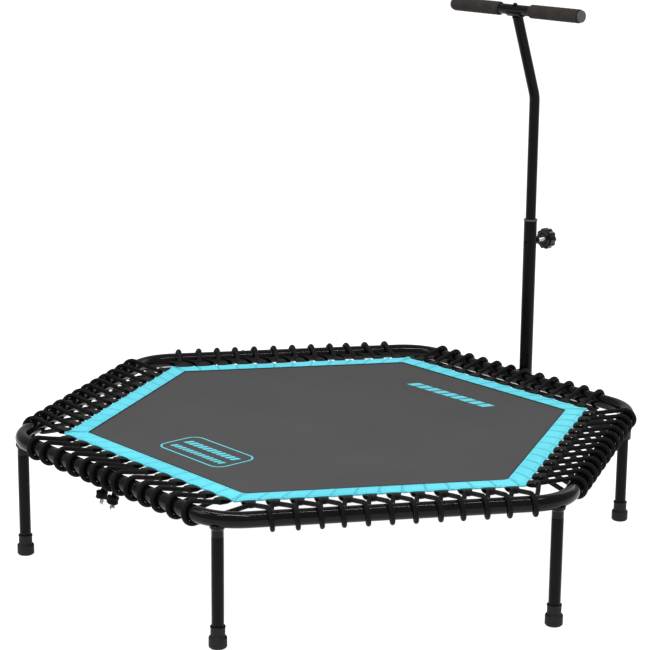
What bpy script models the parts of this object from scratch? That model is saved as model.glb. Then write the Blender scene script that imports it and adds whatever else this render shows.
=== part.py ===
"""Hexagonal fitness trampoline: a jumping mat laced with bungee cord into a six-legged tube frame,
with a height-adjustable T handlebar. Metres, +Z up, feet on z = 0, handlebar on the +Y side."""

import math

import bmesh
import bpy
from mathutils import Matrix, Vector

# Frame: a round steel tube bent into a hexagon with rounded corners
GAP = 0.0003
FRAME_R = 0.0150
WALL = 0.0015
LEG_CIRCLE = 0.620
BEND_R = 0.100
FRAME_Z = 0.2405
CORNER_R = LEG_CIRCLE + BEND_R * (1.0 / math.cos(math.radians(30)) - 1.0)
APOTHEM = CORNER_R * math.cos(math.radians(30))

# Legs and feet
LEG_R = 0.01125
LEG_TOP = 0.2070
LEG_BOTTOM = 0.0063
SPIGOT_R = 0.0090
SPIGOT_BOTTOM = 0.1600
FOOT_R = 0.01675
FOOT_SLEEVE_R = 0.0140
FOOT_STEP = 0.0215
FOOT_TOP = 0.0410

# Jumping mat, its border and the webbing band below their seam, hexagons given by their corner radius
MAT_Z = 0.2455
MAT_T = 0.0010
BORDER_INNER = 0.4925
BORDER_OUTER = 0.5385
MAT_OUTER = BORDER_INNER - 2 * GAP
TAB_RING_OUTER = 0.5410
TAB_RING_INNER = 0.4840
TAB_T = 0.0024
TAB_W = 0.0300
TAB_TIP_W = 0.0170
TAB_END = 0.4850
TABS = 12
TAB_PITCH = 0.0443

# Bungee cord: from a tab over the tube, down its outside, under it and back to the next tab.
# On each side its turns have crept a different way along the tube; the mast keeps those beside it apart.
CORD_R = 0.0045
WRAP_PITCH = 0.0432
WRAP_SHIFTS = (0.0080, 0.0160, 0.0100, 0.0, 0.0090, 0.0190)
SCREW_TURNS = 2
EYE_R = TAB_END + GAP + CORD_R
EYE_HALF = 0.0060
WRAP_LEAN = 0.0012
WRAP_STEP = math.radians(45)
WRAP_R = (FRAME_R + 2 * GAP + CORD_R) / math.cos(WRAP_STEP / 2)

# Mast: a lower tube fixed outside the frame, a little off the middle of its side, and an upper tube
# that slides in it
MAST_SIDE = 1
MAST_X = -0.0160
MAST_Y = 0.5820
MAST_R = 0.0140
MAST_BOTTOM = 0.1780
MAST_TOP = 0.5860
COLLAR_TOP = 0.5900
UPPER_R = 0.0110
UPPER_BOTTOM = 0.4580
BEND_Z = 0.8565
MAST_BEND_R = 0.0600
BAR_Y = 0.5165
BAR_Z = 1.0435
TILT = math.atan2(MAST_Y - BAR_Y, BAR_Z - BEND_Z)

# T-bar
BAR_R = 0.0110
BAR_END = 0.1815
GRIP_START = 0.0440
GRIP_END = 0.1805
GRIP_R = 0.0143
CAP_END = 0.1850
SADDLE_HALF = 0.0200
SADDLE_R = 0.0140
BAR_SPACE = BAR_R + 2 * GAP
MAST_END_BELOW_BAR = 0.0190
NECK_R = 0.0088

# Brace tube between the two legs nearest the mast, and the bolts that hold the mast
BRACE_Z = 0.1920
BRACE_R = 0.0095
BRACE_Y = LEG_CIRCLE * math.sin(math.radians(60))
BRACE_LEG_X = LEG_CIRCLE * math.cos(math.radians(60))
CLAMP_R = 0.0160
CLAMP_H = 0.0130
SOCKET_R = 0.0130
SOCKET_LENGTH = 0.0480
BOLT_R = 0.0030
BOLT_HEAD_R = 0.0062

# Height lock: a nut on the mast, a threaded stud and a lobed knob
KNOB_Z = 0.5405
STUD_R = 0.0040
NUT_R = 0.0078
NUT_LENGTH = 0.0090
KNOB_Y = MAST_Y + 0.0430
KNOB_T = 0.0180
KNOB_R = 0.0230
LOBE = 0.0010
LOBES = 10
STUD_START = MAST_Y + UPPER_R + GAP

# The hexagon's centre sits back so that the whole object is centred on the origin in Y
HEXAGON_Y = -(KNOB_Y + KNOB_T - (APOTHEM + WRAP_R + CORD_R)) / 2

MATERIALS = {
    "gloss_black_steel": ((0.012, 0.012, 0.013), 0.22, 0.0),
    "satin_black_steel": ((0.016, 0.016, 0.017), 0.38, 0.0),
    "zinc_steel": ((0.60, 0.60, 0.62), 0.30, 1.0),
    "black_rubber": ((0.020, 0.020, 0.020), 0.65, 0.0),
    "black_plastic": ((0.018, 0.018, 0.019), 0.40, 0.0),
    "grey_plastic": ((0.16, 0.16, 0.16), 0.50, 0.0),
    "mat_fabric": ((0.094, 0.094, 0.094), 0.85, 0.0),
    "border_fabric": ((0.10, 0.68, 0.83), 0.60, 0.0),
    "black_webbing": ((0.015, 0.014, 0.014), 0.80, 0.0),
    "bungee_sheath": ((0.017, 0.017, 0.018), 0.70, 0.0),
    "grip_foam": ((0.035, 0.028, 0.024), 0.90, 0.0),
}

for old in list(bpy.data.objects):
    bpy.data.objects.remove(old, do_unlink=True)

parts = bpy.data.collections.new("fitness_trampoline")
cutters = bpy.data.collections.new("cutters")
bpy.context.scene.collection.children.link(parts)
bpy.context.scene.collection.children.link(cutters)


def material(name):
    """The Principled material of that name, made the first time it is asked for."""
    found = bpy.data.materials.get(name)
    if found:
        return found
    colour, roughness, metallic = MATERIALS[name]
    made = bpy.data.materials.new(name)
    made.use_nodes = True
    shader = made.node_tree.nodes["Principled BSDF"]
    shader.inputs["Base Color"].default_value = (*colour, 1.0)
    shader.inputs["Roughness"].default_value = roughness
    shader.inputs["Metallic"].default_value = metallic
    return made


def add_part(name, mesh, finish, smooth=True):
    """A named object for one piece."""
    made = bpy.data.objects.new(name, mesh)
    parts.objects.link(made)
    mesh.materials.clear()
    mesh.materials.append(material(finish))
    if smooth:
        mesh.shade_smooth()
        mesh.set_sharp_from_angle(angle=math.radians(35))
    return made


def evaluated_mesh(obj):
    """The object's mesh as it stands with its modifiers; the object itself is removed."""
    graph = bpy.context.evaluated_depsgraph_get()
    mesh = bpy.data.meshes.new_from_object(obj.evaluated_get(graph))
    mesh.transform(obj.matrix_world)
    bpy.data.objects.remove(obj, do_unlink=True)
    return mesh


def weld(mesh):
    """Joins vertices that lie on each other, such as a curve's caps and its sides."""
    made = bmesh.new()
    made.from_mesh(mesh)
    bmesh.ops.remove_doubles(made, verts=made.verts, dist=0.00005)
    bmesh.ops.recalc_face_normals(made, faces=made.faces)
    made.to_mesh(mesh)
    made.free()
    return mesh


def path_curve(points, radius, sides, caps):
    """A round-section curve along the points."""
    curve = bpy.data.curves.new("path", "CURVE")
    curve.dimensions = "3D"
    curve.bevel_depth = radius
    curve.bevel_resolution = (sides - 4) // 2
    curve.use_fill_caps = caps
    spline = curve.splines.new("POLY")
    spline.points.add(len(points) - 1)
    for point, place in zip(spline.points, points):
        point.co = (*place, 1.0)
    made = bpy.data.objects.new("path", curve)
    bpy.context.scene.collection.objects.link(made)
    return made


def rod_mesh(points, radius, sides=12):
    """A solid round bar along the points."""
    return weld(evaluated_mesh(path_curve(points, radius, sides, True)))


def tube_mesh(points, radius, wall=WALL, sides=12):
    """A hollow round tube along the points, open at both ends."""
    skin = weld(evaluated_mesh(path_curve(points, radius, sides, False)))
    made = bpy.data.objects.new("skin", skin)
    bpy.context.scene.collection.objects.link(made)
    outward = skin.polygons[0].normal.dot(skin.polygons[0].center - Vector(points[0])) > 0
    solid = made.modifiers.new("wall", "SOLIDIFY")
    solid.thickness = wall
    solid.offset = -1.0 if outward else 1.0
    solid.use_even_offset = True
    return weld(evaluated_mesh(made))


def turned_mesh(profile, sides=20):
    """A solid of revolution about Z from (radius, height) points, listed from the top down."""
    made = bmesh.new()
    corners = [made.verts.new((radius, 0.0, height)) for radius, height in profile]
    for first, second in zip(corners, corners[1:]):
        made.edges.new((first, second))
    mesh = bpy.data.meshes.new("profile")
    made.to_mesh(mesh)
    made.free()
    obj = bpy.data.objects.new("profile", mesh)
    bpy.context.scene.collection.objects.link(obj)
    screw = obj.modifiers.new("turn", "SCREW")
    screw.steps = sides
    screw.render_steps = sides
    screw.use_merge_vertices = True
    screw.merge_threshold = 0.00005
    return weld(evaluated_mesh(obj))


def plate_mesh(outlines, thickness):
    """A flat plate centred on z = 0 from closed outlines: the first is its edge, the rest its holes."""
    curve = bpy.data.curves.new("outline", "CURVE")
    curve.dimensions = "2D"
    curve.fill_mode = "BOTH"
    curve.extrude = thickness / 2
    for outline in outlines:
        spline = curve.splines.new("POLY")
        spline.points.add(len(outline) - 1)
        for point, (x, y) in zip(spline.points, outline):
            point.co = (x, y, 0.0, 1.0)
        spline.use_cyclic_u = True
    obj = bpy.data.objects.new("outline", curve)
    bpy.context.scene.collection.objects.link(obj)
    return weld(evaluated_mesh(obj))


def moved(mesh, place=(0, 0, 0), turn=Matrix.Identity(4)):
    """The mesh turned and then moved."""
    mesh.transform(Matrix.Translation(place) @ turn)
    return mesh


def boolean(target, mesh, operation):
    """Cuts the mesh from the target, or joins it to the target."""
    tool = bpy.data.objects.new("tool_" + target.name, mesh)
    cutters.objects.link(tool)
    tool.hide_render = True
    tool.display_type = "WIRE"
    step = target.modifiers.new(operation.lower(), "BOOLEAN")
    step.operation = operation
    step.solver = "EXACT"
    step.object = tool
    return target


def along_y():
    """Turns a +Z axis to +Y."""
    return Matrix.Rotation(math.radians(-90), 4, "X")


def along_x():
    """Turns a +Z axis to +X."""
    return Matrix.Rotation(math.radians(90), 4, "Y")


def tilted():
    """Turns a +Z axis to the direction of the mast above its bend."""
    return Matrix.Rotation(TILT, 4, "X")


def cylinder_mesh(radius, low, high, sides=16):
    """A cylinder on the Z axis between two heights."""
    return turned_mesh([(0, high), (radius, high), (radius, low), (0, low)], sides)


def hexagon(radius):
    """Corners at 0, 60 ... 300 degrees."""
    angles = [math.radians(60 * corner) for corner in range(6)]
    return [(radius * math.cos(angle), radius * math.sin(angle)) for angle in angles]


def side_place(side, along, out, height):
    """A point by its side of the hexagon, place along the side, distance out and height."""
    angle = math.radians(30 + 60 * side)
    x = out * math.cos(angle) - along * math.sin(angle)
    y = out * math.sin(angle) + along * math.cos(angle)
    return Vector((x, y, height))


def frame_section(number):
    """One bent length of the frame with the spigot that a leg pushes onto."""
    side = number - 1
    centre_angle = math.radians(60 * number)
    centre = Vector((math.cos(centre_angle), math.sin(centre_angle), 0)) * (LEG_CIRCLE - BEND_R)
    points = [side_place(side, GAP / 2, APOTHEM, FRAME_Z)]
    steps = 5
    for step in range(steps + 1):
        angle = math.radians(60 * number - 30 + 60 * step / steps)
        points.append(centre + Vector((BEND_R * math.cos(angle), BEND_R * math.sin(angle), FRAME_Z)))
    points.append(side_place(side + 1, -GAP / 2, APOTHEM, FRAME_Z))
    section = add_part(f"frame_section_{number}", tube_mesh(points, FRAME_R, sides=10), "gloss_black_steel")
    collar_low = LEG_TOP + GAP
    profile = [
        (0, FRAME_Z - 0.0100),
        (SPIGOT_R, FRAME_Z - 0.0100),
        (SPIGOT_R, collar_low + 0.0040),
        (LEG_R, collar_low + 0.0030),
        (LEG_R, collar_low),
        (SPIGOT_R, collar_low),
        (SPIGOT_R, SPIGOT_BOTTOM),
        (SPIGOT_R - WALL, SPIGOT_BOTTOM),
        (SPIGOT_R - WALL, FRAME_Z - FRAME_R - 0.0020),
        (0, FRAME_Z - FRAME_R - 0.0020),
    ]
    place = Vector((math.cos(centre_angle), math.sin(centre_angle), 0)) * LEG_CIRCLE
    boolean(section, moved(turned_mesh(profile, 8), place), "UNION")
    if side == MAST_SIDE:
        bolt_space = moved(cylinder_mesh(BOLT_R + GAP, 0, 0.05, 12), (MAST_X, APOTHEM, FRAME_Z), along_y())
        boolean(section, bolt_space, "DIFFERENCE")


def leg(number):
    """A straight leg tube and its rubber foot."""
    angle = math.radians(60 * number)
    place = Vector((LEG_CIRCLE * math.cos(angle), LEG_CIRCLE * math.sin(angle), 0))
    ends = [place + Vector((0, 0, LEG_BOTTOM)), place + Vector((0, 0, LEG_TOP))]
    add_part(f"leg_{number}", tube_mesh(ends, LEG_R), "satin_black_steel")
    socket = LEG_R + GAP
    profile = [
        (socket, FOOT_TOP),
        (FOOT_SLEEVE_R, FOOT_TOP),
        (FOOT_SLEEVE_R, FOOT_STEP),
        (FOOT_R, FOOT_STEP),
        (FOOT_R, 0.0020),
        (FOOT_R - 0.0020, 0.0),
        (0, 0.0),
    ]
    foot = moved(turned_mesh(profile + [(0, 0.0060), (socket, 0.0060), (socket, FOOT_TOP)], 12), place)
    add_part(f"foot_{number}", foot, "black_rubber")


def frame_screw(number):
    """The domed screw that pins a frame section to the sleeve inside its joint."""
    out = FRAME_R + GAP
    profile = [(0, out + 0.0022), (0.0028, out + 0.0018), (0.0045, out + 0.0004), (0.0045, out), (0, out)]
    turn = Matrix.Rotation(math.radians(60 * number - 30), 4, "Z") @ Matrix.Rotation(math.radians(45), 4, "Y")
    along = WRAP_SHIFTS[number - 1] + SCREW_TURNS * WRAP_PITCH
    place = side_place(number - 1, along, APOTHEM, FRAME_Z)
    add_part(f"frame_screw_{number}", moved(turned_mesh(profile, 12), place, turn), "satin_black_steel")


def jumping_mat():
    """The woven mat, and the coloured border sewn to its edge, level with it."""
    mat = moved(plate_mesh([hexagon(MAT_OUTER)], MAT_T), (0, 0, MAT_Z))
    add_part("jumping_mat", mat, "mat_fabric", smooth=False)
    border = moved(plate_mesh([hexagon(BORDER_OUTER), hexagon(BORDER_INNER)], MAT_T), (0, 0, MAT_Z))
    add_part("mat_border", border, "border_fabric", smooth=False)


def tab_places():
    """Places along a side of its tabs."""
    return [(tab - (TABS - 1) / 2) * TAB_PITCH for tab in range(TABS)]


def wrap_places(side):
    """Places along a side of the cord's turns round the tube, one for each tab."""
    return [(turn - (TABS - 1) / 2) * WRAP_PITCH + WRAP_SHIFTS[side] for turn in range(TABS)]


def tab_ring():
    """A webbing band under the mat's edge with a tapered tab for each turn of the cord."""
    outline = []
    band = TAB_RING_OUTER * math.cos(math.radians(30))
    for side in range(6):
        for along in tab_places():
            for place, out in (
                (along - TAB_W / 2, band),
                (along - TAB_TIP_W / 2, TAB_END),
                (along + TAB_TIP_W / 2, TAB_END),
                (along + TAB_W / 2, band),
            ):
                outline.append(side_place(side, place, out, 0)[:2])
        corner = math.radians(60 * (side + 1))
        outline.append((TAB_RING_OUTER * math.cos(corner), TAB_RING_OUTER * math.sin(corner)))
    tab_z = MAT_Z - MAT_T / 2 - GAP - TAB_T / 2
    ring = moved(plate_mesh([outline, hexagon(TAB_RING_INNER)], TAB_T), (0, 0, tab_z))
    add_part("tab_ring", ring, "black_webbing", smooth=False)
    return tab_z


def bungee_run(number, eye_z):
    """The cord along one side, from its first tab to the next side's first tab."""
    side = number - 1
    points = []
    for count, (tab, wrap) in enumerate(zip(tab_places(), wrap_places(side))):
        points.append(side_place(side, tab + (GAP if count == 0 else -EYE_HALF), EYE_R, eye_z))
        points.append(side_place(side, tab + EYE_HALF, EYE_R, eye_z))
        for step in range(5):
            angle = math.radians(90) - step * WRAP_STEP
            place = wrap + (step - 2) * WRAP_LEAN
            out = APOTHEM + WRAP_R * math.cos(angle)
            points.append(side_place(side, place, out, FRAME_Z + WRAP_R * math.sin(angle)))
    points.append(side_place(side + 1, tab_places()[0] - EYE_HALF, EYE_R, eye_z))
    points.append(side_place(side + 1, tab_places()[0] - GAP, EYE_R, eye_z))
    add_part(f"bungee_run_{number}", rod_mesh(points, CORD_R, 6), "bungee_sheath")


def mast():
    """The lower mast tube with its holes, top collar and bottom plug."""
    ends = [(MAST_X, MAST_Y, MAST_BOTTOM), (MAST_X, MAST_Y, MAST_TOP)]
    lower = add_part("mast_lower_tube", tube_mesh(ends, MAST_R, sides=16), "satin_black_steel")
    stud_hole = moved(cylinder_mesh(STUD_R + GAP, 0, 0.02, 12), (MAST_X, MAST_Y, KNOB_Z), along_y())
    boolean(lower, stud_hole, "DIFFERENCE")
    for height in (FRAME_Z, BRACE_Z):
        bolt_hole = cylinder_mesh(BOLT_R + GAP, -0.02, 0.02, 12)
        boolean(lower, moved(bolt_hole, (MAST_X, MAST_Y, height), along_y()), "DIFFERENCE")
    bore = UPPER_R + 0.0004
    collar = [
        (bore, COLLAR_TOP),
        (MAST_R + 0.0006, COLLAR_TOP),
        (MAST_R + 0.0010, COLLAR_TOP - 0.0006),
        (MAST_R + 0.0010, MAST_TOP + GAP),
        (MAST_R - WALL - GAP, MAST_TOP + GAP),
        (MAST_R - WALL - GAP, MAST_TOP - 0.0120),
        (bore, MAST_TOP - 0.0120),
        (bore, COLLAR_TOP),
    ]
    add_part("mast_collar", moved(turned_mesh(collar, 20), (MAST_X, MAST_Y, 0)), "grey_plastic")
    plug = [
        (0, MAST_BOTTOM + 0.0060),
        (MAST_R - WALL - GAP, MAST_BOTTOM + 0.0060),
        (MAST_R - WALL - GAP, MAST_BOTTOM - GAP),
        (MAST_R, MAST_BOTTOM - GAP),
        (MAST_R, MAST_BOTTOM - 0.0025),
        (0, MAST_BOTTOM - 0.0025),
    ]
    add_part("mast_bottom_plug", moved(turned_mesh(plug, 16), (MAST_X, MAST_Y, 0)), "black_plastic")


def mast_mount():
    """The saddle and spacer between the mast and the frame, with their two bolts."""
    low = (MAST_X - 0.0125, APOTHEM, FRAME_Z - 0.0120)
    high = (MAST_X + 0.0125, MAST_Y, FRAME_Z + 0.0120)
    made = bmesh.new()
    bmesh.ops.create_cube(made, size=1.0)
    for corner in made.verts:
        corner.co = [low[k] if corner.co[k] < 0 else high[k] for k in range(3)]
    block = bpy.data.meshes.new("block")
    made.to_mesh(block)
    made.free()
    saddle = add_part("mast_saddle", block, "satin_black_steel")
    tube_space = moved(cylinder_mesh(FRAME_R + 2 * GAP, -0.05, 0.05, 24), (0, APOTHEM, FRAME_Z), along_x())
    boolean(saddle, tube_space, "DIFFERENCE")
    boolean(saddle, moved(cylinder_mesh(MAST_R + GAP, 0.1, 0.4, 24), (MAST_X, MAST_Y, 0)), "DIFFERENCE")
    bolt_space = cylinder_mesh(BOLT_R + GAP, -0.05, 0.05, 12)
    boolean(saddle, moved(bolt_space, (MAST_X, MAST_Y, FRAME_Z), along_y()), "DIFFERENCE")
    spacer_low = BRACE_Y + BRACE_R + GAP
    spacer_high = MAST_Y - MAST_R - GAP
    spacer = [
        (BOLT_R + GAP, spacer_high),
        (0.0075, spacer_high),
        (0.0075, spacer_low),
        (BOLT_R + GAP, spacer_low),
        (BOLT_R + GAP, spacer_high),
    ]
    place = (MAST_X, 0, BRACE_Z)
    add_part("mast_spacer", moved(turned_mesh(spacer, 16), place, along_y()), "satin_black_steel")
    add_bolt("mast_bolt_upper", FRAME_Z, APOTHEM + FRAME_R - WALL - 0.0030)
    add_bolt("mast_bolt_lower", BRACE_Z, BRACE_Y - BRACE_R + WALL + 0.0010)


def add_bolt(name, height, far_end):
    """A domed bolt through the mast, in from its outer side."""
    seat = MAST_Y + MAST_R + GAP
    profile = [
        (0, seat + 0.0036),
        (0.0034, seat + 0.0031),
        (BOLT_HEAD_R, seat + 0.0008),
        (BOLT_HEAD_R, seat),
        (BOLT_R, seat),
        (BOLT_R, far_end),
        (0, far_end),
    ]
    add_part(name, moved(turned_mesh(profile, 12), (MAST_X, 0, height), along_y()), "zinc_steel")


def brace():
    """The cross tube behind the mast and the clamps that hold it to two legs."""
    end = BRACE_LEG_X - CLAMP_R - 0.0010
    tube = add_part(
        "brace_tube",
        tube_mesh([(-end, BRACE_Y, BRACE_Z), (end, BRACE_Y, BRACE_Z)], BRACE_R),
        "satin_black_steel",
    )
    hole = moved(cylinder_mesh(BOLT_R + GAP, 0, 0.05, 12), (MAST_X, BRACE_Y, BRACE_Z), along_y())
    boolean(tube, hole, "DIFFERENCE")
    for name, way in (("right", 1), ("left", -1)):
        place = (way * BRACE_LEG_X, BRACE_Y, BRACE_Z)
        clamp_mesh = moved(cylinder_mesh(CLAMP_R, -CLAMP_H, CLAMP_H, 20), place)
        clamp = add_part(f"brace_clamp_{name}", clamp_mesh, "black_plastic")
        inward = Matrix.Rotation(math.radians(-90 * way), 4, "Y")
        boolean(clamp, moved(cylinder_mesh(SOCKET_R - 0.001, 0.002, SOCKET_LENGTH, 16), place, inward), "UNION")
        boolean(clamp, moved(cylinder_mesh(LEG_R + GAP, -0.03, 0.03, 20), place), "DIFFERENCE")
        bore = cylinder_mesh(BRACE_R + GAP, CLAMP_R - 0.0005, SOCKET_LENGTH + 0.01, 16)
        boolean(clamp, moved(bore, place, inward), "DIFFERENCE")


def height_lock():
    """The welded nut, threaded stud and lobed knob that lock the upper tube."""
    nut_y = MAST_Y + MAST_R + GAP + NUT_LENGTH / 2
    bore = STUD_R + 2 * GAP
    turns = [math.radians(30 * step) for step in range(12)]
    hole = [(bore * math.cos(turn), bore * math.sin(turn)) for turn in turns]
    nut = moved(plate_mesh([hexagon(NUT_R), hole], NUT_LENGTH), (MAST_X, nut_y, KNOB_Z), along_y())
    add_part("lock_nut", nut, "zinc_steel", smooth=False)
    place = (MAST_X, 0, KNOB_Z)
    stud_high = KNOB_Y + 0.0080
    stud = [
        (0, stud_high),
        (STUD_R, stud_high),
        (STUD_R, STUD_START + 0.0010),
        (STUD_R - 0.0010, STUD_START),
        (0, STUD_START),
    ]
    add_part("lock_stud", moved(turned_mesh(stud, 12), place, along_y()), "zinc_steel")
    outline = []
    for step in range(60):
        angle = math.radians(6 * step)
        radius = KNOB_R - LOBE + LOBE * math.cos(LOBES * angle)
        outline.append((radius * math.cos(angle), radius * math.sin(angle)))
    grip = moved(plate_mesh([outline], KNOB_T), (MAST_X, KNOB_Y + KNOB_T / 2, KNOB_Z), along_y())
    knob = add_part("lock_knob", grip, "black_plastic")
    socket = cylinder_mesh(STUD_R + GAP, -0.01, 0.0080 + GAP, 12)
    boolean(knob, moved(socket, (MAST_X, KNOB_Y, KNOB_Z), along_y()), "DIFFERENCE")


def upper_mast():
    """The sliding upper tube, bent towards the mat below the T-bar."""
    reach = MAST_BEND_R * math.tan(TILT / 2)
    points = [Vector((MAST_X, MAST_Y, UPPER_BOTTOM))]
    steps = 3
    for step in range(steps + 1):
        angle = TILT * step / steps
        y = MAST_Y - MAST_BEND_R * (1 - math.cos(angle))
        points.append(Vector((MAST_X, y, BEND_Z - reach + MAST_BEND_R * math.sin(angle))))
    bar = Vector((MAST_X, BAR_Y, BAR_Z))
    lean = Vector((0, -math.sin(TILT), math.cos(TILT)))
    points.append(bar - lean * MAST_END_BELOW_BAR)
    add_part("mast_upper_tube", tube_mesh(points, UPPER_R), "satin_black_steel")


def handlebar():
    """The T-bar, its saddle on the mast, the bolt through both, the foam grips and the end caps."""
    bar_place = Vector((MAST_X, BAR_Y, BAR_Z))
    ends = [bar_place - Vector((BAR_END, 0, 0)), bar_place + Vector((BAR_END, 0, 0))]
    bar = add_part("t_bar", tube_mesh(ends, BAR_R, sides=16), "gloss_black_steel")
    bolt_space = cylinder_mesh(BOLT_R + GAP, -0.05, 0.05, 12)
    boolean(bar, moved(bolt_space, bar_place, tilted()), "DIFFERENCE")

    neck_top = -MAST_END_BELOW_BAR + GAP
    lip = math.radians(85)
    arc = [-lip + 2 * lip * step / 12 for step in range(13)]
    shell = [(SADDLE_R * math.cos(angle), SADDLE_R * math.sin(angle)) for angle in arc]
    shell += [(BAR_SPACE * math.cos(angle), BAR_SPACE * math.sin(angle)) for angle in reversed(arc)]
    cup = tilted() @ along_x()
    saddle_mesh = moved(plate_mesh([shell], 2 * SADDLE_HALF), bar_place, cup)
    saddle = add_part("bar_saddle", saddle_mesh, "satin_black_steel")
    neck = [
        (0, -BAR_SPACE - 0.0008),
        (UPPER_R, -BAR_SPACE - 0.0008),
        (UPPER_R, neck_top),
        (NECK_R, neck_top),
        (NECK_R, neck_top - 0.0150),
        (0, neck_top - 0.0150),
    ]
    boolean(saddle, moved(turned_mesh(neck, 16), bar_place, tilted()), "UNION")
    thread = cylinder_mesh(BOLT_R + GAP, -0.0270, 0.01, 12)
    boolean(saddle, moved(thread, bar_place, tilted()), "DIFFERENCE")

    seat = BAR_R + GAP
    bolt = [
        (0, seat + 0.0046),
        (0.0030, seat + 0.0038),
        (0.0055, seat + 0.0008),
        (0.0055, seat),
        (BOLT_R, seat),
        (BOLT_R, -0.0260),
        (0, -0.0260),
    ]
    add_part("bar_bolt", moved(turned_mesh(bolt, 12), bar_place, tilted()), "satin_black_steel")

    for name, way in (("right", 1), ("left", -1)):
        outward = Matrix.Rotation(math.radians(90 * way), 4, "Y")
        grip = [
            (BAR_R + GAP, GRIP_END),
            (GRIP_R - 0.001, GRIP_END),
            (GRIP_R, GRIP_END - 0.001),
            (GRIP_R, GRIP_START + 0.001),
            (GRIP_R - 0.001, GRIP_START),
            (BAR_R + GAP, GRIP_START),
            (BAR_R + GAP, GRIP_END),
        ]
        add_part(f"grip_{name}", moved(turned_mesh(grip, 20), bar_place, outward), "grip_foam")
        cap = [
            (0, CAP_END),
            (0.0118, CAP_END),
            (0.0125, CAP_END - 0.0008),
            (0.0125, BAR_END + GAP),
            (BAR_R - WALL - GAP, BAR_END + GAP),
            (BAR_R - WALL - GAP, BAR_END - 0.0120),
            (0, BAR_END - 0.0120),
        ]
        add_part(f"bar_cap_{name}", moved(turned_mesh(cap, 16), bar_place, outward), "grey_plastic")


for index in range(1, 7):
    frame_section(index)
    leg(index)
    if index - 1 != MAST_SIDE:
        frame_screw(index)
jumping_mat()
eye_height = tab_ring()
for index in range(1, 7):
    bungee_run(index, eye_height)
mast()
mast_mount()
brace()
height_lock()
upper_mast()
handlebar()
for piece in list(parts.objects) + list(cutters.objects):
    piece.location.y += HEXAGON_Y
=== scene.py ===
"""Looks of the hexagonal fitness trampoline: fine tubes and fittings, the laced bungee cord, webbing tabs,
the sewn border, foam grips, their materials, and a plain studio. Metres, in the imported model's frame."""

import math
import random

import bmesh
import bpy
from mathutils import Euler, Matrix, Vector


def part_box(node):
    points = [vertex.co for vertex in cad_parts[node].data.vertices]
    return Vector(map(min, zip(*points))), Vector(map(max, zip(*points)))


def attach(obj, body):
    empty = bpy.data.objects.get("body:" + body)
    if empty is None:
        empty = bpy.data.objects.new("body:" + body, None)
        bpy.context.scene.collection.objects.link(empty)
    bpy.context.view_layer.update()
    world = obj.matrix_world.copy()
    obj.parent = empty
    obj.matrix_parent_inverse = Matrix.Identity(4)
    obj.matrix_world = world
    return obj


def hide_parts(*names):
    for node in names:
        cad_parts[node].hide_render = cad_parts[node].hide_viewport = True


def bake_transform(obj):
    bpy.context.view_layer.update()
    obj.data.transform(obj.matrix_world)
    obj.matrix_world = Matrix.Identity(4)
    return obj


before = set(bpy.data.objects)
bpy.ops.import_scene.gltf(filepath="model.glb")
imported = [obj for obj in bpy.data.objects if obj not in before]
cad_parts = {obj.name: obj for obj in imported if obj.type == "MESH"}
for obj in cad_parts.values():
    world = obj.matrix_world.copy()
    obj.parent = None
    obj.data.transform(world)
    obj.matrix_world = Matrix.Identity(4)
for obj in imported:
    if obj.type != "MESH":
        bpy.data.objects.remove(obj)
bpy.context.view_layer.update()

# The hexagon's centre and its main sizes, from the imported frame
mat_low, mat_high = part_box("jumping_mat")
foot_low, foot_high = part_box("foot_6")
CENTRE = Vector((0.0, (mat_low.y + mat_high.y) / 2, 0.0))
LEG_CIRCLE = (foot_low.x + foot_high.x) / 2
MAT_TOP = mat_high.z
MAT_BOTTOM = mat_low.z

# Frame, legs and feet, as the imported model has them
GAP = 0.0003
FRAME_R = 0.0150
WALL = 0.0015
BEND_R = 0.100
FRAME_Z = 0.2405
APOTHEM = (LEG_CIRCLE + BEND_R * (1.0 / math.cos(math.radians(30)) - 1.0)) * math.cos(math.radians(30))
LEG_R = 0.01125
LEG_TOP = 0.2070
LEG_BOTTOM = 0.0063
FOOT_R = 0.01675
FOOT_SLEEVE_R = 0.0140
FOOT_STEP = 0.0215
FOOT_TOP = 0.0410

# Mat, border and webbing tabs: hexagons by their corner radius, tabs by their distance out
BORDER_INNER = 0.4925
BORDER_OUTER = 0.5390
BORDER_T = 0.0022
TABS = 12
TAB_PITCH = 0.0443
TAB_ROOT = 0.4580
TAB_EDGE = 0.4665
TAB_ROOT_W = 0.0262
TAB_LOOP_W = 0.0165
TAB_T = 0.0013
TACK_OUT = 0.4700
STITCH_PITCH = 0.0048
PIPING_R = 0.0012

# Bungee cord: its eye in a tab, its turn round the tube, and the places of its turns along each side
CORD_R = 0.0045
EYE_OUT = 0.4835
EYE_Z = MAT_TOP - 0.0020
EYE_R = 0.0058
EYE_RISE = 0.0006
WRAP_R = FRAME_R + CORD_R + GAP
WRAP_LEAN = 0.0050
WRAP_PITCH = 0.0432
WRAP_SHIFTS = (0.0080, 0.0160, 0.0100, 0.0, 0.0090, 0.0190)
MAST_SIDE = 1

# The knotted side has its own turns: the cord's two ends wrap the tube one after the other
KNOT_SIDE = 4
TURNS_BEFORE = (-0.2375, -0.195, -0.146, -0.104, -0.060, -0.027)
TURNS_AFTER = (0.009, 0.041, 0.081, 0.123, 0.164, 0.209, 0.255)
LAST_TURN = len(TURNS_BEFORE)
KNOT_REACH = 1.55

# The route of the cord's tails on the knotted side: along the side, out from the tube's middle, down
TAIL_ROUTE = (
    (0.0, -0.0065, -0.0010),
    (0.0010, -0.0045, 0.0060),
    (0.0, 0.0, 0.0150),
    (0.0010, 0.0010, 0.0270),
)

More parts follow.
